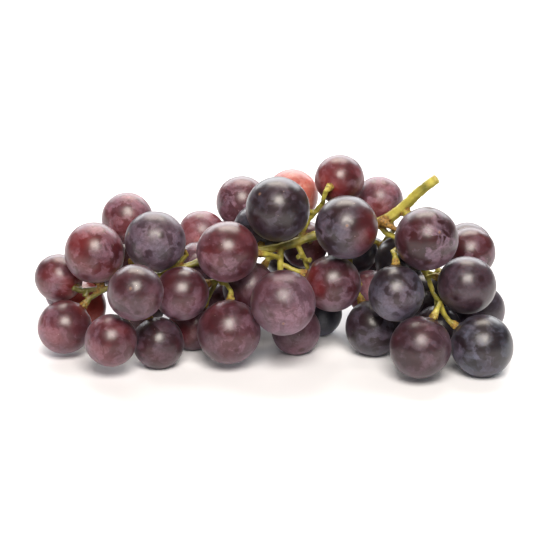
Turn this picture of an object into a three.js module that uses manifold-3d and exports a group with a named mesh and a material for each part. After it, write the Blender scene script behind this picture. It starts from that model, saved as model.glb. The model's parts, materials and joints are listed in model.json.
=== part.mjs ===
// A bunch of grapes lying on its side: one branched stem, and every berry a body of its own.
// Millimetres, +Z up, the surface that it lies on at z = 0, the cut end of the stalk towards +X.

import * as THREE from 'three';
import { mergeVertices } from 'three/addons/utils/BufferGeometryUtils.js';
import Module from 'manifold-3d';

const wasm = await Module();
wasm.setup();

// Air between the pieces
const BERRY_CLEARANCE = 0.4;
const TWIG_CLEARANCE = 0.9;
const SEAT_GAP = 0.3;

// The form of a berry: its waist against its length, the seat of its stalk, and how flat it lies
const BERRY_WAIST = 0.98;
const BERRY_SIDES = 12;
const BERRY_RINGS = 7;
const SEAT_RADIUS = 2.1;
const SEAT_REACH = SEAT_RADIUS / BERRY_WAIST;
const FLAT_DEPTH = 0.6;

// The berry stalks: thin, with a wide collar where the berry sits
const STALK_RADIUS = 1.05;
const COLLAR_RADIUS = 1.9;
const COLLAR_LENGTH = 3.0;
const STALK_RAKE = 0.35;
const STALK_SIDES = 5;
const STALK_SPAN = 4.5;

// The branches of the stem
const BRANCH_SIDES = 6;
const BRANCH_SPAN = 5;
const LEAST_SPANS = 2;
const CURVE_STATIONS = 100;

// Berries give way mostly from front to back, so that the front of the bunch keeps its face.
const VIEW_TILT = THREE.MathUtils.degToRad(20);
const DEPTH = new THREE.Vector3(0, Math.cos(VIEW_TILT), -Math.sin(VIEW_TILT));
const SIDEWAYS_SHARE = 0.3;
const SETTLE_PASSES = 400;
const CLEARING_PASSES = 60;
const CLEARING_EASE = 0.1;

// The smallest length that counts, a block of ground wider than any berry, and the seat's own way
const HAIR = 1e-4;
const GROUND_SIZE = 100;
const UP = new THREE.Vector3(0, 1, 0);

const SKINS = {
  red: { color: 0x7a2f3c, roughness: 0.38, metalness: 0 },
  purple: { color: 0x4f2a35, roughness: 0.42, metalness: 0 },
  dark: { color: 0x2c2430, roughness: 0.45, metalness: 0 },
};
const STEM_FINISH = { color: 0xa9a53f, roughness: 0.6, metalness: 0 };

// Branches: the one that each grows from, its width at root and tip, and the points it passes.
// The first is the stalk with the main stem; a point list starts beside the parent's own line.
const BRANCHES = {
  rachis: {
    widths: [4.0, 4.3, 4.7, 4.3, 3.9, 3.7, 3.3, 3.1, 2.9, 2.7, 2.5, 2.3, 2.0],
    points: [
      [62, 2, 67.5], [56, 3, 62.5], [48, 5, 53.5], [40, 6, 48], [28, 5, 46], [15, 3, 44],
      [4, 1, 40.5], [-5, -1, 39.5], [-18, 1, 38], [-33, -3, 34], [-45, -6, 31], [-60, -8, 27.5],
      [-75, -6, 24.5],
    ],
  },
  scar: { from: 'rachis', widths: [4.8, 3.2], points: [[50, 5, 54.5], [52.5, 3, 49.5]] },
  withered: { from: 'rachis', widths: [4.4, 2.8, 1.6], points: [[41, 6, 49], [42.5, 1, 49.5], [47, -2, 48]] },
  wing: {
    from: 'rachis',
    widths: [2.7, 1.9],
    points: [[40, 6, 48], [42, 4, 45.5], [46.5, 2, 42.5], [53, -3, 38.5], [57.5, -5, 32], [60, -9, 28],
      [63, -16, 23.5]],
  },
  wing_back: {
    from: 'wing',
    widths: [2.4, 2.0],
    points: [[57.5, -5, 32], [63, 2, 28], [66, 9, 26], [65.5, 17, 24]],
  },
  shoulder: {
    from: 'rachis',
    widths: [2.8, 2.0],
    points: [[41, 6, 48.5], [44, 11, 46], [47, 19, 41], [45, 27, 36]],
  },
  waist: { from: 'rachis', widths: [2.7, 2.1], points: [[32, 6, 46.5], [30, 7, 39], [29, 4, 31], [30, 1, 25]] },
  crown: {
    from: 'rachis',
    widths: [2.6, 2.2],
    points: [[9, 3, 42.5], [12.5, 6, 49], [16, 5, 53.5], [18.5, 4, 57]],
  },
  inner: { from: 'rachis', widths: [2.4, 2.0], points: [[8, 2.5, 42], [11, 1, 36], [13, 2, 30], [12, 2, 24]] },
  heart: { from: 'rachis', widths: [2.9, 2.4], points: [[3, 1, 40.5], [2, -4, 37.3], [2, -9, 34.2]] },
  back: {
    from: 'rachis',
    widths: [2.6, 2.0],
    points: [[-18, 1, 38], [-17.5, 11, 34], [-16, 22, 31], [-19, 27, 25]],
  },
  front: { from: 'rachis', widths: [2.5, 2.2], points: [[-18, 1, 38], [-20, -5, 34], [-21, -10, 29.5]] },
  flank: { from: 'rachis', widths: [2.3, 2.0], points: [[-45, -6, 31], [-49, -14, 28.5], [-51, -19, 24]] },
  rear: {
    from: 'rachis',
    widths: [2.4, 2.0],
    points: [[-46, -6, 30.5], [-48, 4, 29], [-51, 14, 28], [-52, 20, 28.5]],
  },
  low: {
    from: 'rachis',
    widths: [2.2, 1.9],
    points: [[-66, -8, 26], [-70, 2, 20], [-70, 15, 19], [-72, 24, 17.5]],
  },
};

// Berries by the branch that they hang on: centre, diameter and skin. One that rests lies on the
// surface. Where it matters, lean is the side of the berry that its stalk comes to, and at is how
// far along the branch the stalk leaves it.
const BERRIES = {
  rachis: [
    { centre: [27, -12, 52.5], size: 24.5, skin: 'dark' },
    { centre: [-5, 14, 43], size: 21, skin: 'dark' },
    { centre: [11, 18, 36], size: 19, skin: 'red' },
    { centre: [-46, -7, 45], size: 23.5, skin: 'dark', lean: [0.84, 0.38, -0.4] },
    { centre: [-30, 8, 31], size: 17, skin: 'red' },
    { centre: [-69, -6, 40], size: 23.5, skin: 'red' },
    { centre: [-84, 2, 27], size: 19, skin: 'red' },
    { centre: [-81, -12, 12], size: 21, skin: 'red', lean: [0.65, 0.3, 0.7], at: 0.92 },
  ],
  wing: [
    { centre: [57, -16, 49], size: 24.5, skin: 'purple' },
    { centre: [46, -24, 30], size: 21.5, skin: 'dark', lean: [0, 0.4, 0.92], at: 0.35 },
    { centre: [73, -14, 30], size: 22.5, skin: 'purple', lean: [-0.92, 0.35, 0.15], at: 0.75 },
    { centre: [54, -36, 14], size: 23.5, skin: 'red', lean: [0.41, 0.32, 0.86], at: 1 },
    { centre: [78, -30, 12], size: 24, skin: 'dark', lean: [-0.8, 0.25, 0.55], at: 1, rests: true },
    { centre: [63, -8, 9], size: 19.5, skin: 'dark', rests: true },
  ],
  wing_back: [
    { centre: [76, 6, 36], size: 20, skin: 'red' },
    { centre: [80, 4, 13], size: 20.5, skin: 'dark' },
    { centre: [75, 28, 30], size: 20.5, skin: 'purple' },
    { centre: [59, 10, 16], size: 19.5, skin: 'dark' },
    { centre: [73, 26, 10], size: 20.5, skin: 'dark', rests: true },
    { centre: [58, 32, 27], size: 20.5, skin: 'dark' },
    { centre: [52, 32, 9], size: 19, skin: 'purple', rests: true },
  ],
  shoulder: [
    { centre: [41, 22, 52], size: 19.5, skin: 'red' },
    { centre: [38, 38, 22], size: 19, skin: 'dark' },
  ],
  waist: [
    { centre: [46, 10, 30], size: 19.5, skin: 'dark', lean: [-0.6, 0.7, 0.35] },
    { centre: [33, 18, 30], size: 20.5, skin: 'dark' },
    { centre: [38, 10, 21], size: 18.5, skin: 'red' },
    { centre: [38, -7, 11], size: 22, skin: 'dark', rests: true },
  ],
  crown: [
    { centre: [25, 12, 64], size: 19.5, skin: 'red', lean: [-0.4, -0.91, -0.02], at: 1 },
    { centre: [6, 26, 52], size: 21, skin: 'red' },
    { centre: [1, -4, 57], size: 25, skin: 'dark' },
  ],
  inner: [
    { centre: [8, -8, 9], size: 19.5, skin: 'dark', rests: true },
    { centre: [17, 12, 9], size: 19, skin: 'dark', rests: true },
  ],
  heart: [
    { centre: [3, -28, 28], size: 25, skin: 'purple', lean: [0, 0.95, 0.32], at: 1 },
    { centre: [-18, -16, 44], size: 23.5, skin: 'red', lean: [0.93, 0.3, -0.15], at: 0.5 },
    { centre: [-10, -4, 25], size: 21, skin: 'purple', lean: [0.55, 0.3, 0.78], at: 0.6 },
    { centre: [22, -10, 29], size: 22, skin: 'purple', lean: [-0.94, 0.11, 0.31], at: 0.7 },
  ],
  back: [
    { centre: [-29, 26, 37], size: 19, skin: 'red' },
    { centre: [-13, 32, 48], size: 21, skin: 'purple' },
    { centre: [6, 38, 22], size: 19.5, skin: 'dark' },
    { centre: [-20, 41, 27], size: 20, skin: 'purple' },
    { centre: [-20, 18, 9], size: 19.5, skin: 'purple', rests: true },
    { centre: [1, 22, 9], size: 20.5, skin: 'dark', rests: true },
    { centre: [-33, 37, 10], size: 20, skin: 'red' },
  ],
  front: [
    { centre: [-18, -23, 15], size: 24.5, skin: 'red', lean: [0.05, 0.5, 0.86], at: 1 },
    { centre: [-32, -3, 9], size: 19.5, skin: 'purple', rests: true },
    { centre: [-35, -17, 27], size: 21, skin: 'purple' },
  ],
  flank: [
    { centre: [-52, -33, 34], size: 21.5, skin: 'purple' },
    { centre: [-61, -31, 14], size: 20, skin: 'red' },
    { centre: [-45, -23, 10], size: 20, skin: 'purple', rests: true },
  ],
  rear: [
    { centre: [-58, 18, 46], size: 20.5, skin: 'red' },
    { centre: [-64, 31, 23], size: 20.5, skin: 'red' },
    { centre: [-44, 32, 27], size: 19.5, skin: 'purple' },
    { centre: [-53.5, 18, 9], size: 19.5, skin: 'red', rests: true },
  ],
  low: [
    { centre: [-77.5, 16, 10], size: 21, skin: 'red', rests: true },
    { centre: [-84, 35, 9], size: 20, skin: 'purple', rests: true },
  ],
};

// Bare stalks whose berry has dropped: the branch, how far along it, the way it points, its length
const BARE_STALKS = [
  { branch: 'rachis', at: 1, way: [-1, -0.2, 0.5], length: 3.5 },
  { branch: 'rachis', at: 0.98, way: [-0.5, -0.6, -0.9], length: 3 },
  { branch: 'rachis', at: 0.86, way: [-0.3, -1, -0.5], length: 4 },
  { branch: 'inner', at: 0.35, way: [-0.7, -0.9, 0.4], length: 4 },
  { branch: 'inner', at: 0.45, way: [0.6, -0.9, 0.5], length: 3.5 },
  { branch: 'crown', at: 0.7, way: [-0.9, -0.3, 0.3], length: 4 },
];
const BARE_TIP_RADIUS = 1.2;

function vector([x, y, z]) {
  return new THREE.Vector3(x, y, z);
}

// The berries in one list, each with its branch and its own number on it
function gather() {
  return Object.entries(BERRIES).flatMap(([branch, rows]) => rows.map((row, index) => ({
    ...row,
    branch,
    name: `berry_${branch}_${index + 1}`,
    centre: vector(row.centre),
    radius: row.size / 2,
  })));
}

// Push overlapping berries apart until each has air round it, and keep the resting ones down.
function settle(berries) {
  const between = new THREE.Vector3();
  for (let pass = 0; pass < SETTLE_PASSES; pass += 1) {
    berries.forEach((one, index) => berries.slice(index + 1).forEach((other) => {
      between.subVectors(other.centre, one.centre);
      const distance = between.length();
      const overlap = one.radius + other.radius + BERRY_CLEARANCE - distance;
      if (overlap <= 0) return;
      between.divideScalar(distance);
      const inDepth = DEPTH.clone().multiplyScalar(between.dot(DEPTH));
      const step = between.clone().sub(inDepth).multiplyScalar(SIDEWAYS_SHARE).add(inDepth);
      const reach = Math.min(overlap / 2 / Math.max(step.dot(between), HAIR), overlap);
      one.centre.addScaledVector(step, -reach);
      other.centre.addScaledVector(step, reach);
    }));
    berries.forEach((berry) => {
      const lowest = berry.radius - (berry.rests ? FLAT_DEPTH : 0);
      if (berry.rests || berry.centre.z < lowest) berry.centre.z = lowest;
    });
  }
}

// Move the inner points of a twig's line out of every berry that it would cut, and ease the bends
// beside them. A stretch that is clear stays as it was drawn.
function clearOf(berries, line, radius, ownBerry) {
  const away = new THREE.Vector3();
  const last = line.length - 1;
  for (let pass = 0; pass < CLEARING_PASSES; pass += 1) {
    const moved = line.map((point, i) => i > 0 && i < last && berries.filter((berry) => {
      const air = berry === ownBerry ? SEAT_GAP : TWIG_CLEARANCE;
      const reach = berry.radius + radius + air;
      away.subVectors(point, berry.centre);
      if (away.length() >= reach - HAIR) return false;
      point.copy(berry.centre).add(away.setLength(reach));
      return true;
    }).length > 0);
    if (!moved.includes(true)) break;
    for (let i = 1; i < last; i += 1) {
      const middle = line[i - 1].clone().add(line[i + 1]).multiplyScalar(1 / 2);
      if (!moved[i] && (moved[i - 1] || moved[i + 1])) line[i].lerp(middle, CLEARING_EASE);
    }
  }
  return line;
}

function curveThrough(line) {
  return new THREE.CatmullRomCurve3(line, false, 'centripetal');
}

function nearestAlong(curve, place) {
  let nearest = 0;
  let least = Infinity;
  for (let i = 0; i <= CURVE_STATIONS; i += 1) {
    const distance = curve.getPointAt(i / CURVE_STATIONS).distanceTo(place);
    if (distance < least) {
      least = distance;
      nearest = i / CURVE_STATIONS;
    }
  }
  return { at: nearest, distance: least };
}

// Lay every branch: rooted in the middle of its parent, and clear of the berries.
function layBranches(berries) {
  const laid = {};
  Object.entries(BRANCHES).forEach(([name, branch]) => {
    const points = branch.points.map(vector);
    if (branch.from) {
      const parent = laid[branch.from].curve;
      points[0] = parent.getPointAt(nearestAlong(parent, points[0]).at);
    }
    const rough = curveThrough(points);
    const spans = Math.max(LEAST_SPANS, Math.round(rough.getLength() / BRANCH_SPAN));
    const line = clearOf(berries, rough.getSpacedPoints(spans), branch.widths[0] / 2);
    laid[name] = { curve: curveThrough(line), widths: branch.widths, spans };
  });
  return laid;
}

function widthAlong(widths, t) {
  const station = t * (widths.length - 1);
  const index = Math.min(Math.floor(station), widths.length - 2);
  return THREE.MathUtils.lerp(widths[index], widths[index + 1], station - index);
}

// A round twig along a curve: a cylinder whose rings are moved onto the curve.
function twig(curve, radiusAt, sides, spans) {
  const geometry = new THREE.CylinderGeometry(1, 1, 1, sides, spans);
  const frames = curve.computeFrenetFrames(spans, false);
  const centres = curve.getSpacedPoints(spans);
  const rings = geometry.attributes.position;
  for (let i = 0; i < rings.count; i += 1) {
    const t = rings.getY(i) + 1 / 2;
    const ring = Math.round(t * spans);
    const radius = radiusAt(t);
    const point = centres[ring].clone();
    point.addScaledVector(frames.binormals[ring], rings.getX(i) * radius);
    point.addScaledVector(frames.normals[ring], rings.getZ(i) * radius);
    rings.setXYZ(i, point.x, point.y, point.z);
  }
  return solidOf(geometry);
}

// A closed mesh as a solid: shared corners merged, slivers without area left out
function solidOf(geometry) {
  geometry.deleteAttribute('normal');
  geometry.deleteAttribute('uv');
  const merged = mergeVertices(geometry, HAIR);
  const corners = [];
  for (let i = 0; i < merged.index.count; i += 3) {
    const triangle = [0, 1, 2].map((k) => merged.index.getX(i + k));
    if (new Set(triangle).size === triangle.length) corners.push(...triangle);
  }
  return new wasm.Manifold(new wasm.Mesh({
    numProp: 3,
    vertProperties: Float32Array.from(merged.attributes.position.array),
    triVerts: Uint32Array.from(corners),
  }));
}

function geometryOf(solid) {
  const mesh = solid.getMesh();
  const geometry = new THREE.BufferGeometry();
  geometry.setAttribute('position', new THREE.BufferAttribute(mesh.vertProperties, 3));
  geometry.setIndex(new THREE.BufferAttribute(mesh.triVerts, 1));
  geometry.computeVertexNormals();
  return geometry;
}

// A berry's stalk: from its branch, round the other berries, square onto its seat
function stalkOf(berry, branch, berries) {
  const nearest = nearestAlong(branch.curve, berry.centre);
  const rake = STALK_RAKE * (nearest.distance - berry.radius) / branch.curve.getLength();
  const root = branch.curve.getPointAt(berry.at ?? Math.max(0, nearest.at - rake));
  berry.axis = berry.lean ? vector(berry.lean).normalize() : root.clone().sub(berry.centre).normalize();
  const seat = berry.centre.clone().addScaledVector(berry.axis, seatHeight(berry.radius) + SEAT_GAP);
  const collar = Math.min(COLLAR_LENGTH, root.distanceTo(seat) / 2);
  const approach = seat.clone().addScaledVector(berry.axis, collar);
  const bend = approach.clone().addScaledVector(berry.axis, collar);
  const rough = new THREE.QuadraticBezierCurve3(root, bend, approach);
  const spans = Math.max(LEAST_SPANS, Math.round(rough.getLength() / STALK_SPAN));
  const line = [...clearOf(berries, rough.getSpacedPoints(spans), STALK_RADIUS, berry), seat];
  const curve = curveThrough(line);
  const length = curve.getLength();
  const radiusAt = (t) => {
    const flare = THREE.MathUtils.smoothstep(t * length, length - COLLAR_LENGTH, length);
    return THREE.MathUtils.lerp(STALK_RADIUS, COLLAR_RADIUS, flare);
  };
  return twig(curve, radiusAt, STALK_SIDES, spans + 1);
}

function bareStalk({ branch, at, way, length }, laid, berries) {
  const root = laid[branch].curve.getPointAt(at);
  const tip = root.clone().addScaledVector(vector(way).normalize(), length);
  const line = clearOf(berries, [root, root.clone().lerp(tip, 1 / 2), tip], STALK_RADIUS);
  const radiusAt = (t) => THREE.MathUtils.lerp(STALK_RADIUS, BARE_TIP_RADIUS, t);
  return twig(curveThrough(line), radiusAt, STALK_SIDES, line.length);
}

// Height of the flat seat over the centre of a berry
function seatHeight(radius) {
  return Math.sqrt(radius ** 2 - SEAT_REACH ** 2);
}

// A berry standing on its own centre with its seat up
function berryBody(radius) {
  const seatAngle = Math.asin(SEAT_REACH / radius);
  const profile = [new THREE.Vector2(0, seatHeight(radius))];
  for (let ring = 0; ring <= BERRY_RINGS; ring += 1) {
    const angle = THREE.MathUtils.lerp(seatAngle, Math.PI, ring / BERRY_RINGS);
    const across = ring === BERRY_RINGS ? 0 : BERRY_WAIST * radius * Math.sin(angle);
    profile.push(new THREE.Vector2(across, radius * Math.cos(angle)));
  }
  return solidOf(new THREE.LatheGeometry(profile.reverse(), BERRY_SIDES));
}

// Cut off what lies under the surface: the flat spot that a resting berry is pressed to
function pressFlat(body, placement) {
  const ground = new THREE.BoxGeometry(GROUND_SIZE, GROUND_SIZE, GROUND_SIZE);
  const foot = new THREE.Vector3().setFromMatrixPosition(placement).setZ(-GROUND_SIZE / 2);
  ground.translate(foot.x, foot.y, foot.z).applyMatrix4(placement.clone().invert());
  return body.subtract(solidOf(ground));
}

function berryMesh(berry) {
  const turn = new THREE.Quaternion().setFromUnitVectors(UP, berry.axis);
  let body = berryBody(berry.radius);
  if (berry.rests) {
    const placement = new THREE.Matrix4().compose(berry.centre, turn, new THREE.Vector3(1, 1, 1));
    body = pressFlat(body, placement);
  }
  const mesh = new THREE.Mesh(geometryOf(body), new THREE.MeshStandardMaterial(SKINS[berry.skin]));
  mesh.name = berry.name;
  mesh.position.copy(berry.centre);
  mesh.quaternion.copy(turn);
  return mesh;
}

function stemMesh(berries) {
  const laid = layBranches(berries);
  const twigs = Object.values(laid).map(({ curve, widths, spans }) => (
    twig(curve, (t) => widthAlong(widths, t) / 2, BRANCH_SIDES, spans)));
  const stalks = berries.map((berry) => stalkOf(berry, laid[berry.branch], berries));
  const bare = BARE_STALKS.map((row) => bareStalk(row, laid, berries));
  const stem = [...twigs, ...stalks, ...bare].reduce((joined, piece) => joined.add(piece));
  const mesh = new THREE.Mesh(geometryOf(stem), new THREE.MeshStandardMaterial(STEM_FINISH));
  mesh.name = 'stem';
  return mesh;
}

const berries = gather();
settle(berries);

const bunch = new THREE.Group();
bunch.add(stemMesh(berries));
Object.keys(BERRIES).forEach((branch) => {
  const cluster = new THREE.Group();
  berries.filter((berry) => berry.branch === branch).forEach((berry) => cluster.add(berryMesh(berry)));
  bunch.add(cluster);
});

// The origin is on the surface, under the middle of the bunch.
const extent = new THREE.Box3().setFromObject(bunch, true);
const middle = extent.getCenter(new THREE.Vector3());
bunch.position.set(-middle.x, -middle.y, -extent.min.z);

export default bunch;
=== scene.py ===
# %% [markdown]
# # A bunch of grapes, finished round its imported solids
#
# The frame holds one branched stem and one plain solid for each berry. Nothing here moves or
# resizes them. Each berry gets a finer body in its own place, with a skin that has a patchy waxy
# bloom, and the stem gets round twigs with cork at the collars and forks. Lengths are in metres,
# and a value in millimetres is written as a number times MM.

# %% Load the frame
import json
import math
import random

import bpy
import numpy as np
from mathutils import Matrix, Vector


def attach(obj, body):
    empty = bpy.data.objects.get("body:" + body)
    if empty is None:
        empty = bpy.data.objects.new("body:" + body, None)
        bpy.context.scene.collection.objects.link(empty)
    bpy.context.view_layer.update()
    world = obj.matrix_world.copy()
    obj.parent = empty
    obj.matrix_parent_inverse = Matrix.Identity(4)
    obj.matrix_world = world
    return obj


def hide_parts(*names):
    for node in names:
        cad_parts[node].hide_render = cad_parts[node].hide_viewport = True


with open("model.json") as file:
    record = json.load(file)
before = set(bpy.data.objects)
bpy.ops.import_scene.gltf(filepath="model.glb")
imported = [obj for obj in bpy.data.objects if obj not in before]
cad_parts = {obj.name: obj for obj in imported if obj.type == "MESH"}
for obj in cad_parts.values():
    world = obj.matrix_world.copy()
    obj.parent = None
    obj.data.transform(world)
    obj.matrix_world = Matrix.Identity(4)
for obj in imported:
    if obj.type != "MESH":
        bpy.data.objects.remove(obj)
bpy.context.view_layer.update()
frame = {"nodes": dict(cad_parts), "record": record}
MM = 0.001

# %% [markdown]
# ## Small helpers
#
# Operators work on whatever is selected, so every step starts by selecting nothing. Colours are
# written as sRGB hex, as a paint chart gives them, and turned to the linear values that shaders
# want by one function. One function adds a shader node with its settings and its links.


# %% Helpers for selecting, colours and nodes
def select_only(piece):
    if bpy.context.object and bpy.context.object.mode != "OBJECT":
        bpy.ops.object.mode_set(mode="OBJECT")
    bpy.ops.object.select_all(action="DESELECT")
    piece.select_set(True)
    bpy.context.view_layer.objects.active = piece


def linear(hex_colour):
    channels = [int(hex_colour[i:i + 2], 16) / 255 for i in (1, 3, 5)]
    return [c / 12.92 if c <= 0.04045 else ((c + 0.055) / 1.055) ** 2.4 for c in channels] + [1.0]


def add_node(tree, kind, links=None, sockets=None, **settings):
    node = tree.nodes.new(kind)
    for name, value in settings.items():
        setattr(node, name, value)
    for name, value in (sockets or {}).items():
        node.inputs[name].default_value = value
    for name, source in (links or {}).items():
        tree.links.new(source, node.inputs[name])
    return node


def smooth_step(values, low, high):
    t = np.clip((values - low) / (high - low), 0, 1)
    return t * t * (3 - 2 * t)


# %% [markdown]
# ## Camera
#
# The photograph looks down on the bunch by about twenty degrees, from the front, with a long
# lens. The berries show at 2.58 pixels a millimetre, which with the distance gives the focal
# length. The camera aims at a point under the middle of the bunch.

# %% The camera
VIEW_TILT = math.radians(20)
VIEW_DISTANCE = 0.8
AIM = Vector((1.9, -1.35, 28.9)) * MM
IMAGE_SIZE = 550
PIXELS_PER_METRE = 2580
SENSOR = 36

camera_data = bpy.data.cameras.new("photo_camera")
camera = bpy.data.objects.new("photo_camera", camera_data)
bpy.context.scene.collection.objects.link(camera)
camera_data.sensor_width = SENSOR
camera_data.lens = SENSOR * PIXELS_PER_METRE * VIEW_DISTANCE / IMAGE_SIZE
camera_data.clip_start = 0.01
back = Vector((0, -math.cos(VIEW_TILT), math.sin(VIEW_TILT)))
camera.location = AIM + back * VIEW_DISTANCE
camera.rotation_euler = (math.pi / 2 - VIEW_TILT, 0, 0)
bpy.context.scene.camera = camera
print("lens", round(camera_data.lens, 1), "mm at", tuple(round(v, 3) for v in camera.location))

# %% [markdown]
# ## Floor and light
#
# The bunch was shot on a white sweep, so the floor runs out of the picture on all sides. A soft
# box in front and above gives each berry its one round highlight, a bank above and behind lights
# the tops, a wide bank far behind gives the white rims, and a pale sky fills the shadows. Far from
# the bunch, where the lamps don't reach, the paper glows a little, so that it stays white.

# %% The floor
FLOOR_SIZE = 8
GLOW_FROM, GLOW_TO = 0.3, 0.9

bpy.ops.mesh.primitive_plane_add(size=FLOOR_SIZE, location=(0, 0, 0))
floor = bpy.context.object
floor.name = "floor"

paper = bpy.data.materials.new("white_paper_sweep")
paper.use_nodes = True
paper_shader = paper.node_tree.nodes["Principled BSDF"]
paper_shader.inputs["Base Color"].default_value = linear("#E8EAEE")
paper_shader.inputs["Roughness"].default_value = 0.7
paper_shader.inputs["Emission Color"].default_value = linear("#FFFCFA")
away = add_node(paper.node_tree, "ShaderNodeVectorMath", {
    0: add_node(paper.node_tree, "ShaderNodeTexCoord").outputs["Object"]}, operation="LENGTH")
glow = add_node(paper.node_tree, "ShaderNodeMapRange", {"Value": away.outputs["Value"]}, {
    "From Min": GLOW_FROM, "From Max": GLOW_TO, "To Min": 0.02, "To Max": 0.9})
paper.node_tree.links.new(glow.outputs["Result"], paper_shader.inputs["Emission Strength"])
paper_shader.inputs["Specular IOR Level"].default_value = 0.1
floor.data.materials.append(paper)


# %% The lights
def soft_box(name, place, aim, width, height, power, colour):
    data = bpy.data.lights.new(name, "AREA")
    data.shape = "RECTANGLE"
    data.size = width
    data.size_y = height
    data.energy = power
    data.color = linear(colour)[:3]
    lamp = bpy.data.objects.new(name, data)
    bpy.context.scene.collection.objects.link(lamp)
    lamp.location = place
    lamp.rotation_euler = (Vector(aim) - Vector(place)).to_track_quat("-Z", "Y").to_euler()


soft_box("front_box", (0.05, -0.74, 0.83), (0, 0, 0.03), 0.54, 0.54, 17.5, "#FFF6EC")
soft_box("overhead_bank", (0.02, 0.5, 0.85), (0, 0.03, 0.03), 0.7, 0.36, 8.0, "#FFF4E8")
soft_box("back_bank", (0, 1.35, 0.7), (0, 0.3, 0.0), 2.2, 0.8, 30, "#FAFCFF")

sky = bpy.data.worlds.new("pale_sky")
sky.use_nodes = True
sky_shader = sky.node_tree.nodes["Background"]
sky_shader.inputs["Color"].default_value = linear("#F8F8FA")
sky_shader.inputs["Strength"].default_value = 0.16
bpy.context.scene.world = sky
bpy.context.scene.view_settings.view_transform = "Standard"

# %% [markdown]
# ## Where each berry is
#
# The solids say where each berry sits, how big it is and where its stalk meets it. The seat is
# the one corner of a solid whose triangles all lie in one plane. From it the axis runs through
# the berry, and the other corners give the height of the seat over the middle, by the equation
# of an ellipse whose waist is a little narrower than its length.

# %% Read the berries from the frame
WAIST = 0.98
LEAST_ROUND_SEAT = 12
BELOW_COLLAR = 3 * MM
ABOVE_FLAT = 0.1 * MM
ON_FLOOR = 0.05 * MM


def corners_and_normals(piece):
    mesh = piece.data
    corners = np.array([v.co for v in mesh.vertices])
    faces = np.array([p.vertices[:] for p in mesh.polygons])
    normals = np.array([p.normal for p in mesh.polygons])
    return corners, faces, normals


def read_berry(name):
    corners, faces, normals = corners_and_normals(frame["nodes"][name])
    places, index = np.unique(corners.round(7), axis=0, return_inverse=True)
    index = index.reshape(-1)
    best = None
    for place in range(len(places)):
        around = np.flatnonzero((index[faces] == place).any(axis=1))
        spread = np.linalg.norm(normals[around].mean(axis=0))
        if len(around) >= LEAST_ROUND_SEAT and (best is None or spread > best[0]):
            best = (spread, place, around)
    _, seat_place, around = best
    seat = places[seat_place]
    axis = normals[around].mean(axis=0)
    axis /= np.linalg.norm(axis)
    rim = np.linalg.norm(places[np.unique(index[faces[around]])] - seat, axis=1).max()
    from_seat = places - seat
    depth = -from_seat @ axis
    across = np.linalg.norm(from_seat + depth[:, None] * axis, axis=1)
    rim_square = (rim / WAIST) ** 2
    told = (depth > BELOW_COLLAR) & (places[:, 2] > ABOVE_FLAT)
    height = np.median(((across / WAIST) ** 2 + depth ** 2 - rim_square)[told] / (2 * depth[told]))
    radius = math.sqrt(height ** 2 + rim_square)
    middle = seat - axis * height
    return {"name": name, "middle": Vector(middle), "axis": Vector(axis), "radius": radius,
            "seat": Vector(seat), "rests": corners[:, 2].min() < ON_FLOOR}


berries = [read_berry(name) for name in sorted(frame["nodes"]) if name.startswith("berry")]
print(len(berries), "berries,", sum(b["rests"] for b in berries), "resting, radii",
      round(min(b["radius"] for b in berries) / MM, 2), "to",
      round(max(b["radius"] for b in berries) / MM, 2), "mm")

# %% [markdown]
# ## One berry, modelled once
#
# A grape is a slightly long ball. Its skin is drawn in a little round the collar of the stalk,
# and at the far end it has the scar of the flower, a small brown point in a faint dimple. It is
# made as a ball of radius one with its seat up, and shaped by pulling a few rings with soft
# falloff. The finer shape is small against the ball, so a smooth ball is the right start.

# %% The master berry
BERRY_SIDES = 64
BERRY_RINGS = 48

bpy.ops.object.select_all(action="DESELECT")
bpy.ops.mesh.primitive_uv_sphere_add(segments=BERRY_SIDES, ring_count=BERRY_RINGS, radius=1)
master = bpy.context.object
master.name = "master_berry"


def pull_ring(piece, height, thickness, shift, size):
    """Move the points of a level ring up or down, and the points near it by a soft falloff."""
    select_only(piece)
    bpy.ops.object.mode_set(mode="EDIT")
    bpy.ops.mesh.select_mode(type="VERT")
    bpy.ops.mesh.select_all(action="DESELECT")
    bpy.ops.object.mode_set(mode="OBJECT")
    for point in piece.data.vertices:
        point.select = abs(point.co.z - height) < thickness
    bpy.ops.object.mode_set(mode="EDIT")
    bpy.ops.transform.translate(
        value=(0, 0, shift), use_proportional_edit=True, proportional_edit_falloff="SMOOTH",
        proportional_size=size)
    bpy.ops.object.mode_set(mode="OBJECT")


# The skin is drawn in round the collar and lifted in its middle. The far end is pressed in, and
# the ring beside it stands out a little.
pull_ring(master, 0.955, 0.012, -0.022, 0.14)
pull_ring(master, 1.0, 0.004, 0.012, 0.12)
pull_ring(master, -1.0, 0.002, 0.012, 0.2)
pull_ring(master, -0.985, 0.003, -0.004, 0.08)
select_only(master)
bpy.ops.object.shade_smooth()
print("master berry:", len(master.data.polygons), "faces, height",
      round(min(v.co.z for v in master.data.vertices), 3), "to",
      round(max(v.co.z for v in master.data.vertices), 3))

# %% [markdown]
# ## Skin
#
# The skin of a fresh red or black grape is thin and smooth, and lets light into the flesh, so it
# has some subsurface scattering in red. Over it lies the bloom, a film of wax that scatters light
# to a lilac grey. Handling rubs the bloom thin in soft patches, round spots and fine lines, where
# the skin is darker and glossier. All patterns are in millimetres on Object coordinates, so they
# run at one scale on every berry, and each berry sits at another place in them. Four attributes
# on the berries steer them: ripeness from red to blue-black, bloom, how worn the bloom is, and
# the distance from the scar of the flower.


# %% Helpers for patterns
def ramp(tree, source, stops):
    node = add_node(tree, "ShaderNodeValToRGB", {"Fac": source})
    elements = node.color_ramp.elements
    while len(elements) < len(stops):
        elements.new(0.5)
    for element, (place, colour) in zip(elements, stops):
        element.position = place
        element.color = linear(colour)
    return node.outputs["Color"]


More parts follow.
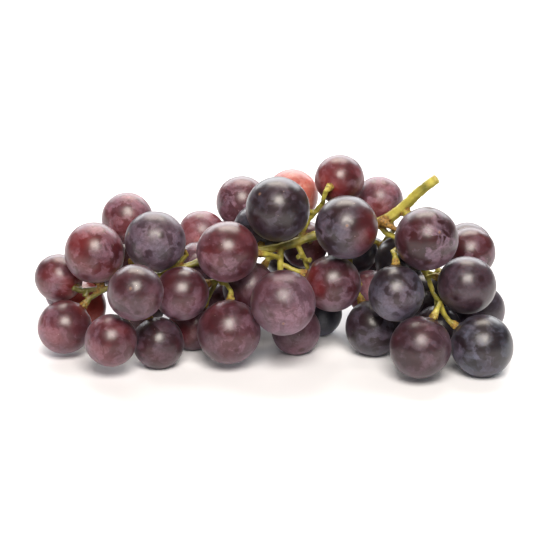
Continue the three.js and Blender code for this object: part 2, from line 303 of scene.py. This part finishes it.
def between(tree, source, low, high, to_low=0.0, to_high=1.0):
    node = add_node(tree, "ShaderNodeMapRange", {"Value": source}, {
        "From Min": low, "From Max": high, "To Min": to_low, "To Max": to_high},
        interpolation_type="SMOOTHSTEP")
    return node.outputs["Result"]


def combine(tree, operation, *values):
    links = {i: value for i, value in enumerate(values) if not isinstance(value, float)}
    sockets = {i: value for i, value in enumerate(values) if isinstance(value, float)}
    return add_node(tree, "ShaderNodeMath", links, sockets, operation=operation).outputs["Value"]


def blend(tree, amount, under, over):
    """Lay one colour over another; each is a socket or a hex colour."""
    links = {0: amount}
    sockets = {}
    for index, colour in ((6, under), (7, over)):
        if isinstance(colour, str):
            sockets[index] = linear(colour)
        else:
            links[index] = colour
    return add_node(tree, "ShaderNodeMix", links, sockets, data_type="RGBA").outputs[2]


def noise(tree, place, size, detail, roughness=0.5, distortion=0.0):
    node = add_node(tree, "ShaderNodeTexNoise", {"Vector": place}, {
        "Scale": 1 / size, "Detail": detail, "Roughness": roughness, "Distortion": distortion})
    return node.outputs["Fac"]


def dots(tree, place, spacing, radius, share):
    """Round soft dots: one in each cell of the spacing, in a share of the cells."""
    cells = add_node(tree, "ShaderNodeTexVoronoi", {"Vector": place}, {"Scale": 1 / spacing})
    dot = between(tree, cells.outputs["Distance"], 0.6 * radius / spacing, 1.5 * radius / spacing,
                  1.0, 0.0)
    chosen = add_node(tree, "ShaderNodeSeparateColor", {"Color": cells.outputs["Color"]})
    return combine(tree, "MULTIPLY", dot, combine(tree, "LESS_THAN", chosen.outputs["Red"], share))


def attribute(tree, name):
    return add_node(tree, "ShaderNodeAttribute", attribute_name=name).outputs["Fac"]


# %% The skin material
BARE_SKIN = [(0.0, "#A83C28"), (0.2, "#651A1A"), (0.4, "#3E1014"), (0.65, "#260D12"),
             (1.0, "#0F090D")]
WAXED_SKIN = [(0.0, "#C8968A"), (0.2, "#9C6A74"), (0.4, "#856374"), (0.65, "#6A5666"),
              (1.0, "#525668")]
SPECK = "#C9AC9C"
SCAR = "#7A5238"
SCAR_RIM = "#A98A78"


def skin_material(name, scatter):
    skin = bpy.data.materials.new(name)
    skin.use_nodes = True
    tree = skin.node_tree
    shader = tree.nodes["Principled BSDF"]
    place = add_node(tree, "ShaderNodeTexCoord").outputs["Object"]
    # The bloom and wear attributes also carry painted light: thicker, less worn bloom on each
    # berry's underside stands for light thrown up from the floor.
    bloom = attribute(tree, "bloom")
    wear = attribute(tree, "wear")
    from_scar = attribute(tree, "from_scar")

    # The ripeness drifts a little over each berry.
    drift = between(tree, noise(tree, place, 11 * MM, 2.0), 0.3, 0.7, -0.07, 0.07)
    shade = combine(tree, "ADD", attribute(tree, "ripeness"), drift)
    flesh = ramp(tree, shade, BARE_SKIN)
    wax = ramp(tree, shade, WAXED_SKIN)

    # The film of wax: soft thick and thin, a fine mottle, and where it is rubbed off
    thin = combine(tree, "MULTIPLY", wear, between(
        tree, noise(tree, place, 6 * MM, 5.0, 0.6, 0.8), 0.38, 0.62, 0.9, 0.0))
    mottle = between(tree, noise(tree, place, 1.2 * MM, 4.0, 0.65), 0.3, 0.65, 0.6, 1.0)
    rubbed = combine(tree, "MULTIPLY", wear, between(
        tree, noise(tree, place, 5 * MM, 3.5, 0.52, 0.4), 0.5, 0.56, 0.0, 1.0))
    spots = combine(tree, "MULTIPLY", dots(tree, place, 7.5 * MM, 1.35 * MM, 0.75), 0.9)
    pores = combine(tree, "MULTIPLY", dots(tree, place, 1.4 * MM, 0.13 * MM, 0.35), 0.5)
    bent = add_node(tree, "ShaderNodeVectorMath", {
        0: add_node(tree, "ShaderNodeTexNoise", {"Vector": place}, {
            "Scale": 1 / (4 * MM), "Detail": 2.0}).outputs["Color"], 2: place}, {
        1: (5 * MM, 5 * MM, 5 * MM)}, operation="MULTIPLY_ADD").outputs["Vector"]
    lines = add_node(tree, "ShaderNodeTexVoronoi", {"Vector": bent}, {
        "Scale": 1 / (8 * MM)}, feature="DISTANCE_TO_EDGE").outputs["Distance"]
    broken = between(tree, noise(tree, place, 5 * MM, 1.0), 0.5, 0.6, 0.0, 0.5)
    scratch = combine(tree, "MULTIPLY", between(tree, lines, 0.005, 0.02, 1.0, 0.0), broken)
    worn = combine(tree, "MAXIMUM", combine(tree, "MAXIMUM", rubbed, spots),
                   combine(tree, "MAXIMUM", scratch, pores))
    film = combine(tree, "MULTIPLY", mottle, combine(tree, "SUBTRACT", 1.0, thin))
    film = combine(tree, "MULTIPLY", film, combine(tree, "SUBTRACT", 1.0, worn))
    film = combine(tree, "MULTIPLY", film, bloom)

    dusted = blend(tree, film, flesh, wax)
    specks = combine(tree, "MULTIPLY", dots(tree, place, 2.6 * MM, 0.12 * MM, 0.35), 0.6)
    specked = blend(tree, specks, dusted, SPECK)
    rim = combine(tree, "MULTIPLY", between(tree, from_scar, 0.5 * MM, 0.9 * MM, 1.0, 0.0), 0.2)
    rimmed = blend(tree, rim, specked, SCAR_RIM)
    colour = blend(tree, between(tree, from_scar, 0.2 * MM, 0.4 * MM, 1.0, 0.0), rimmed, SCAR)
    tree.links.new(colour, shader.inputs["Base Color"])
    tree.links.new(between(tree, film, 0.0, 0.8, 0.32, 0.5), shader.inputs["Roughness"])
    relief = combine(tree, "ADD", combine(tree, "MULTIPLY", film, 0.2),
                     noise(tree, place, 2.5 * MM, 4.0, 0.6))
    bump = add_node(tree, "ShaderNodeBump", {"Height": relief}, {
        "Strength": 0.25, "Distance": 0.12 * MM})
    tree.links.new(bump.outputs["Normal"], shader.inputs["Normal"])
    shader.inputs["IOR"].default_value = 1.45
    shader.inputs["Specular IOR Level"].default_value = 0.7
    shader.inputs["Subsurface Weight"].default_value = scatter
    shader.inputs["Subsurface Radius"].default_value = (1.0, 0.25, 0.2)
    shader.inputs["Subsurface Scale"].default_value = 3 * MM
    shader.inputs["Sheen Weight"].default_value = 0.06
    shader.inputs["Sheen Roughness"].default_value = 0.4
    shader.inputs["Sheen Tint"].default_value = linear("#CFC8DA")
    return skin


skins = {
    "berry_skin_red": skin_material("grape_skin_wine_red", 0.3),
    "berry_skin_purple": skin_material("grape_skin_purple", 0.2),
    "berry_skin_dark": skin_material("grape_skin_blue_black", 0.1),
}
slot_of = {part["node"]: part["material_slot"] for part in frame["record"]["subparts"]}
print("skins:", sorted(skins))

# %% [markdown]
# ## The berries
#
# Each copy of the master is scaled to its berry, turned so that its seat meets its stalk, and
# moved into place in its mesh. A clouds displacement along the normals makes each one its own,
# by a tenth or two of a millimetre. A berry that comes down to the floor is cut level there, as a
# soft fruit lies flat under the weight.
#
# The three numbers of a berry are its ripeness, from 0 for orange-red to 1 for blue-black, how
# much bloom it has, and how much of that is worn off, all judged one by one. Some have a blush, a
# side that ripened otherwise: the way it faces, and how much redder it is there.

# %% The looks of the berries
LOOKS = {
    "berry_rachis_1": (0.8, 0.55, 0.9), "berry_rachis_2": (0.9, 0.55, 0.9),
    "berry_rachis_3": (0.4, 0.4, 0.7), "berry_rachis_4": (0.7, 0.8, 0.65),
    "berry_rachis_5": (0.5, 0.7, 0.6), "berry_rachis_6": (0.36, 0.65, 0.9),
    "berry_rachis_7": (0.38, 0.45, 0.7), "berry_rachis_8": (0.36, 0.65, 0.6),
    "berry_wing_1": (0.58, 0.65, 1.0), "berry_wing_2": (0.88, 0.85, 0.8),
    "berry_wing_3": (0.7, 0.4, 0.5), "berry_wing_4": (0.58, 0.48, 0.7),
    # wing_6, wing_back_4, wing_back_6, waist_1 and waist_2 lie deep in the bunch: they are dark
    # berries, and their near-black skin with little bloom is also painted shade for the deep
    # shadow there.
    "berry_wing_5": (0.95, 0.72, 0.8), "berry_wing_6": (0.95, 0.15, 0.6),
    "berry_wing_back_1": (0.45, 0.65, 0.9), "berry_wing_back_2": (0.8, 0.95, 0.5),
    "berry_wing_back_3": (0.6, 0.95, 0.3), "berry_wing_back_4": (0.95, 0.2, 0.6),
    "berry_wing_back_6": (1.0, 0.2, 0.6), "berry_shoulder_1": (0.4, 0.85, 0.6),
    "berry_waist_1": (1.0, 0.15, 0.6), "berry_waist_2": (1.0, 0.2, 0.6),
    "berry_waist_3": (0.3, 0.85, 0.4), "berry_waist_4": (0.85, 0.65, 0.9),
    "berry_crown_1": (0.36, 0.55, 0.8), "berry_crown_2": (0.13, 0.8, 0.5),
    "berry_crown_3": (0.82, 0.5, 0.9), "berry_inner_1": (0.48, 1.0, 0.4),
    "berry_inner_2": (1.0, 0.65, 0.4), "berry_heart_1": (0.5, 0.8, 0.5),
    "berry_heart_2": (0.4, 0.75, 0.8), "berry_heart_3": (0.55, 0.5, 0.5),
    "berry_heart_4": (0.5, 0.6, 0.8), "berry_back_1": (0.3, 0.85, 0.5),
    "berry_back_2": (0.42, 0.85, 0.7), "berry_back_5": (0.4, 1.0, 0.4),
    "berry_front_1": (0.48, 0.65, 0.7), "berry_front_2": (0.5, 0.35, 0.6),
    "berry_front_3": (0.48, 0.75, 0.7), "berry_flank_1": (0.56, 0.62, 0.7),
    "berry_flank_2": (0.4, 0.75, 0.7), "berry_flank_3": (0.62, 0.7, 0.8),
    "berry_rear_1": (0.34, 0.85, 0.7), "berry_rear_4": (0.5, 0.25, 0.6),
    "berry_low_1": (0.19, 0.1, 0.5),
}
USUAL = {"berry_skin_red": 0.35, "berry_skin_purple": 0.55, "berry_skin_dark": 0.85}
BLUSH = {
    "berry_rachis_1": ((1, -0.4, 0.05), 0.48), "berry_heart_4": ((-1, -0.4, 0), 0.22),
    "berry_back_1": ((-0.2, -0.8, -0.6), 0.2), "berry_crown_2": ((1, -0.5, -0.3), 0.3),
    "berry_rachis_7": ((0.9, -0.4, -0.4), 0.2), "berry_crown_1": ((-0.6, -0.8, -0.4), 0.15),
    "berry_shoulder_1": ((0, -0.8, -0.6), 0.2), "berry_front_2": ((-0.5, -0.8, 0.3), 0.15),
}
# Painted light: this downward lean makes the bloom thicker on the undersides, standing for the
# light thrown up from the floor.
FLOOR_LIGHT_FROM_BELOW = Vector((-0.2, -0.2, -0.8))
UNEVEN_SIZE = 12 * MM
UNEVEN_STRENGTH = 0.5 * MM
CUT_LIMIT = 0.001 * MM
clouds = bpy.data.textures.new("uneven_growth", "CLOUDS")
clouds.noise_scale = UNEVEN_SIZE
chance = random.Random(7)


def add_attribute(piece, name, values):
    written = piece.data.attributes.new(name, "FLOAT", "POINT")
    written.data.foreach_set("value", np.asarray(values, np.float32))


def chance_direction():
    return Vector([chance.gauss(0, 1) for _ in range(3)]).normalized()


# %% Place the berries
def place_berry(berry):
    name = berry["name"]
    slot = slot_of[name]
    piece = master.copy()
    piece.data = master.data.copy()
    piece.name = name + "_fruit"
    piece.data.name = piece.name
    bpy.context.scene.collection.objects.link(piece)
    radius = berry["radius"]
    downward = [-v.co.normalized().z for v in piece.data.vertices]
    from_scar = [radius * math.acos(max(-1, min(1, down))) for down in downward]
    turn = Vector((0, 0, 1)).rotation_difference(berry["axis"]).to_matrix().to_4x4()
    spin = Matrix.Rotation(chance.uniform(0, 2 * math.pi), 4, "Z")
    size = Matrix.Diagonal((radius * WAIST, radius * WAIST, radius, 1))
    piece.data.transform(Matrix.Translation(berry["middle"]) @ turn @ spin @ size)
    add_attribute(piece, "from_scar", from_scar)

    out = np.array([(v.co - berry["middle"]).normalized() for v in piece.data.vertices])
    usual = (USUAL[slot] + chance.uniform(-0.1, 0.1), chance.uniform(0.5, 0.9), 0.7)
    ripeness, bloom, wear = LOOKS.get(name, usual)
    way, redder = BLUSH.get(name, (chance_direction(), 0.06))
    blush = smooth_step(out @ Vector(way).normalized(), 0.3, 0.95)
    # Painted light: bloom is made thicker and less worn toward each berry's underside, a painted
    # lightening for light from the floor; the random direction is real uneven bloom.
    uneven_bloom_and_floor_light = out @ (chance_direction() + FLOOR_LIGHT_FROM_BELOW)
    add_attribute(piece, "wear", wear * (1 - 0.5 * smooth_step(-out[:, 2], 0.1, 0.9)))
    add_attribute(piece, "ripeness", ripeness - redder * blush)
    add_attribute(piece, "bloom", bloom * (1 + 0.5 * uneven_bloom_and_floor_light) * (1 - 1.2 * redder * blush))

    select_only(piece)
    uneven = piece.modifiers.new("uneven", "DISPLACE")
    uneven.texture = clouds
    uneven.texture_coords = "GLOBAL"
    uneven.strength = UNEVEN_STRENGTH
    uneven.mid_level = 0.5
    bpy.ops.object.modifier_apply(modifier="uneven")
    if min(v.co.z for v in piece.data.vertices) < 0:
        bpy.ops.object.mode_set(mode="EDIT")
        bpy.ops.mesh.select_all(action="SELECT")
        bpy.ops.mesh.bisect(plane_co=(0, 0, 0), plane_no=(0, 0, -1), use_fill=True,
                            clear_outer=True, threshold=CUT_LIMIT)
        bpy.ops.object.mode_set(mode="OBJECT")
    piece.data.materials.append(skins[slot])
    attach(piece, "root")
    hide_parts(name)
    return piece


fruits = [place_berry(berry) for berry in berries]
bpy.data.objects.remove(master)
print(len(fruits), "fruits,", sum(len(f.data.polygons) for f in fruits), "faces")

# %% [markdown]
# ## The stem
#
# The stem's solid has branches of six sides and stalks of five. A copy of it, with its doubles
# merged, is closed round by a voxel remesh, smoothed, and roughened with a fine displacement. The
# collars are moved a little more than the gap to their berries, so that they sink into the skin.
# Six attributes tell the material where things are. Collar is one at the warty rings that hold
# the berries, and fork is one in the hollows where twigs part, which both turn to cork. Slender
# is one on thin twigs, old at the wounds, end towards the far end of the bunch, and cut on the
# cut face of the stalk.

# %% Round the twigs
SEAT_GAP = 0.3 * MM
SEATING = 1.2 * SEAT_GAP
COLLAR_REACH = 2.4 * MM
COLLAR_DEPTH = SEAT_GAP + 0.2 * MM
DOUBLES = 0.001 * MM
VOXEL = 0.34 * MM

stem_solid = frame["nodes"]["stem"]
stem = stem_solid.copy()
stem.data = stem_solid.data.copy()
stem.name = "stem_twigs"
stem.data.name = stem.name
bpy.context.scene.collection.objects.link(stem)
stem.hide_render = stem.hide_viewport = False
for key in list(stem.keys()):
    if key.startswith("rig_"):
        del stem[key]
stem.parent = None
stem.data.materials.clear()
select_only(stem)
bpy.ops.object.mode_set(mode="EDIT")
bpy.ops.mesh.select_all(action="SELECT")
bpy.ops.mesh.remove_doubles(threshold=DOUBLES)
bpy.ops.object.mode_set(mode="OBJECT")
seats = np.array([b["seat"] for b in berries])
axes = np.array([b["axis"] for b in berries])


def near_seats(points):
    """For each point, its distance to the nearest seat, the axis of that berry, and the seat."""
    apart = np.linalg.norm(points[:, None] - seats[None], axis=2)
    return apart.min(axis=1), axes[apart.argmin(axis=1)], seats[apart.argmin(axis=1)]


corners = np.array([v.co for v in stem.data.vertices])
distance, axis, seat = near_seats(corners)
over = np.einsum("ij,ij->i", corners - seat, axis)
touching = (distance < COLLAR_REACH) & (over < COLLAR_DEPTH)
for index in np.flatnonzero(touching):
    stem.data.vertices[index].co -= Vector(axis[index] * SEATING)
remesh = stem.modifiers.new("closed_round", "REMESH")
remesh.mode = "VOXEL"
remesh.voxel_size = VOXEL
bpy.ops.object.modifier_apply(modifier="closed_round")
rounding = stem.modifiers.new("rounding", "SMOOTH")
rounding.factor = 0.5
rounding.iterations = 6
bpy.ops.object.modifier_apply(modifier="rounding")
print("stem:", len(stem.data.polygons), "faces,", int(touching.sum()), "collar corners seated")

# %% Mark collars, forks and withered places
points = np.array([v.co for v in stem.data.vertices])
edges = np.array([e.vertices[:] for e in stem.data.edges])
neighbours = np.bincount(edges.ravel(), minlength=len(points))


def spread(values, times):
    """Average each point with its neighbours, over and over."""
    values = values.copy()
    share = neighbours.reshape((-1,) + (1,) * (values.ndim - 1))
    for _ in range(times):
        total = np.zeros_like(values)
        np.add.at(total, edges[:, 0], values[edges[:, 1]])
        np.add.at(total, edges[:, 1], values[edges[:, 0]])
        values = total / share
    return values


def beside(start, end, radius):
    """One near the line from start to end, in millimetres, and zero away from it."""
    start, end = np.array(start) * MM, np.array(end) * MM
    along = np.clip((points - start) @ (end - start) / ((end - start) @ (end - start)), 0, 1)
    apart = np.linalg.norm(points - start - along[:, None] * (end - start), axis=1)
    return 1 - smooth_step(apart, 0.7 * radius * MM, radius * MM)


distance = near_seats(points)[0]
collar = 1 - smooth_step(distance, 2.0 * MM, 3.6 * MM)
normals = np.array([v.normal for v in stem.data.vertices])
hollow = np.einsum("ij,ij->i", spread(points, 20) - points, normals)
fork = np.clip(2 * spread(smooth_step(hollow, -0.12 * MM, 0.06 * MM), 10), 0, 1)
slender = spread(smooth_step(-hollow, 0.3 * MM, 0.5 * MM), 10)
old = np.maximum(beside((43.5, 2, 49.5), (49, -3.3, 48), 3.2),
                 beside((54.4, 1.7, 49.5), (54.8, 1.2, 47), 2.4))
end = smooth_step(-points[:, 0], 48 * MM, 62 * MM)
cut = points[points[:, 2].argmax()]
cut_face = 1 - smooth_step(np.linalg.norm(points - cut, axis=1), 1.2 * MM, 2.4 * MM)
for name, values in (("collar", collar), ("fork", fork), ("slender", slender), ("old", old),
                     ("end", end), ("cut", cut_face)):
    add_attribute(stem, name, values)
print("points at collars", int((collar > 0.5).sum()), "forks", int((fork > 0.5).sum()),
      "withered", int((old > 0.5).sum()), "of", len(points))

# %% Roughen the twigs
for label, weights, size, strength in (
        ("bark", np.ones(len(points)), 1.7, 0.45), ("knobs", np.maximum(collar, old), 0.8, 0.8),
        ("joints", fork, 1.2, 0.5)):
    group = stem.vertex_groups.new(name=label)
    for index in np.flatnonzero(weights > 0.02):
        group.add([int(index)], float(weights[index]), "REPLACE")
    texture = bpy.data.textures.new(label, "CLOUDS")
    texture.noise_scale = size * MM
    rough = stem.modifiers.new(label, "DISPLACE")
    rough.texture = texture
    rough.texture_coords = "GLOBAL"
    rough.strength = strength * MM
    rough.mid_level = 0.45
    rough.vertex_group = label
    select_only(stem)
    bpy.ops.object.modifier_apply(modifier=label)
select_only(stem)
bpy.ops.object.shade_smooth()

# %% [markdown]
# ## Skin of the stem
#
# A fresh rachis is plant tissue with a dull sheen. It runs from olive green to yellow in soft
# stretches, greener on thin twigs and darker towards the far end. At the collars, forks and wounds
# it turns to brown cork. Light enters it a little, as it does a leaf stalk.

# %% The stem material
stem_skin = bpy.data.materials.new("fresh_green_rachis")
stem_skin.use_nodes = True
tree = stem_skin.node_tree
shader = tree.nodes["Principled BSDF"]
place = add_node(tree, "ShaderNodeTexCoord").outputs["Object"]

green = ramp(tree, noise(tree, place, 9 * MM, 3.0), [(0.38, "#757230"), (0.5, "#A29A42"),
                                                     (0.64, "#BEB655")])
patches = between(tree, noise(tree, place, 1.6 * MM, 5.0, 0.65), 0.32, 0.5)
corky = combine(tree, "MAXIMUM", combine(tree, "MULTIPLY", attribute(tree, "collar"), 0.8),
                combine(tree, "MULTIPLY", attribute(tree, "fork"), 0.95))
corky = combine(tree, "MULTIPLY", corky, patches)
flecks = combine(tree, "MULTIPLY", between(tree, noise(tree, place, 0.9 * MM, 3.0), 0.5, 0.66),
                 between(tree, attribute(tree, "slender"), 0.1, 0.7, 0.25, 0.85))
corky = combine(tree, "MAXIMUM", corky, flecks)
corky = combine(tree, "MAXIMUM", corky, combine(tree, "MULTIPLY", attribute(tree, "old"), 0.9))
brown = ramp(tree, noise(tree, place, 0.9 * MM, 3.0), [(0.35, "#4E3219"), (0.6, "#94662A")])
fresh = combine(tree, "MULTIPLY", attribute(tree, "slender"),
                between(tree, noise(tree, place, 6 * MM, 2.0), 0.4, 0.6, 0.3, 0.85))
live = blend(tree, fresh, green, "#6C6A2C")
live = blend(tree, combine(tree, "MULTIPLY", attribute(tree, "end"), 0.75), live, "#4A4A1C")
barked = blend(tree, corky, live, brown)
tree.links.new(blend(tree, attribute(tree, "cut"), barked, "#A08A40"), shader.inputs["Base Color"])
tree.links.new(between(tree, corky, 0.0, 1.0, 0.4, 0.75), shader.inputs["Roughness"])
stem_bump = add_node(tree, "ShaderNodeBump", {"Height": noise(tree, place, 0.5 * MM, 4.0, 0.6)}, {
    "Strength": 0.4, "Distance": 0.15 * MM})
tree.links.new(stem_bump.outputs["Normal"], shader.inputs["Normal"])
shader.inputs["Subsurface Weight"].default_value = 0.15
shader.inputs["Subsurface Radius"].default_value = (1.0, 0.8, 0.25)
shader.inputs["Subsurface Scale"].default_value = 1.0 * MM
stem.data.materials.append(stem_skin)
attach(stem, "root")
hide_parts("stem")
